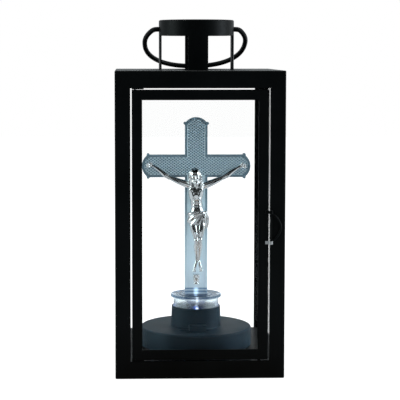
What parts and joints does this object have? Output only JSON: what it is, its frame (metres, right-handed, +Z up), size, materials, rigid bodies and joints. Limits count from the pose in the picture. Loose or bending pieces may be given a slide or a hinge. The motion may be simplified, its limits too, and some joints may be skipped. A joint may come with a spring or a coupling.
{
  "type": "led lantern",
  "caption": "Square black metal lantern with a glazed hinged door, a round chimney with a wire bail, and a battery LED unit that lights a clear cross with a figure.",
  "frame": {"origin": "middle of the footprint, on the surface the lantern stands on", "axes": "+Z up, the door faces -Y, +X to the right as one looks at the door"},
  "size_m": [0.132, 0.1349, 0.28],
  "materials": {
    "black_paint": "satin black powder coat on sheet steel",
    "bare_steel": "bare steel wire and strip",
    "clear_glass": "clear flat window glass",
    "dark_plastic": "dark grey moulded plastic, semi-gloss",
    "clear_acrylic": "clear moulded acrylic, lit from below",
    "cross_acrylic": "clear acrylic with a patterned field and a pale border",
    "plated": "bright plated casting",
    "cell_sleeve": "plain sleeve of a dry cell",
    "contact_metal": "bright strip",
    "circuit": "green circuit board",
    "led_epoxy": "clear epoxy dome, cool white",
    "red_lead": "red insulation",
    "black_lead": "black insulation"
  },
  "bodies": {
    "lantern": {"base_tray": "black_paint", "roof_pan": "black_paint", "post_front_left": "black_paint", "post_front_right": "black_paint", "post_rear_left": "black_paint", "post_rear_right": "black_paint", "glass_left": "clear_glass", "glass_right": "clear_glass", "glass_rear": "clear_glass", "chimney": "black_paint", "hinge_plate_lower": "black_paint", "hinge_plate_upper": "black_paint", "door_stop": "black_paint"},
    "door": {"door_frame": "black_paint", "door_glass": "clear_glass", "hinge_pin_lower": "bare_steel", "hinge_pin_upper": "bare_steel", "pull_knuckle_lower": "bare_steel", "pull_knuckle_upper": "bare_steel"},
    "pull": {"door_pull": "black_paint"},
    "bail": {"bail": "black_paint"},
    "lamp_unit": {"unit_housing": "dark_plastic", "battery_cover": "dark_plastic", "cover_screw_left": "bare_steel", "cover_screw_right": "bare_steel", "battery_1": "cell_sleeve", "battery_2": "cell_sleeve", "battery_3": "cell_sleeve", "contact_front": "contact_metal", "contact_rear": "contact_metal", "circuit_board": "circuit", "led": "led_epoxy", "wire_positive": "red_lead", "wire_negative": "black_lead", "lens_cup": "clear_acrylic", "cross_body": "cross_acrylic", "cross_figure": "plated", "foot_rest": "plated", "switch_board": "circuit", "switch_module": "bare_steel"},
    "switch": {"switch_slider": "dark_plastic"}
  },
  "joints": [
    {"name": "door_hinge", "type": "hinge", "parent": "lantern", "child": "door", "pos_m": [-0.0502, -0.0636, 0.12], "axis": [0, 0, -1], "range_deg": [0, 110]},
    {"name": "pull_pivot", "type": "hinge", "parent": "door", "child": "pull", "pos_m": [0.0546, -0.0673, 0.1188], "axis": [0, 0, -1], "range_deg": [0, 170]},
    {"name": "bail_pivot", "type": "hinge", "parent": "lantern", "child": "bail", "pos_m": [0, 0, 0.2726], "axis": [1, 0, 0], "range_deg": [0, 231]},
    {"name": "lamp_unit_slide", "type": "slide", "parent": "lantern", "child": "lamp_unit", "axis": [0, -1, 0], "range_m": [-0.014, 0.014]},
    {"name": "switch_slide", "type": "slide", "parent": "lamp_unit", "child": "switch", "axis": [-1, 0, 0], "range_m": [0, 0.005]}
  ]
}
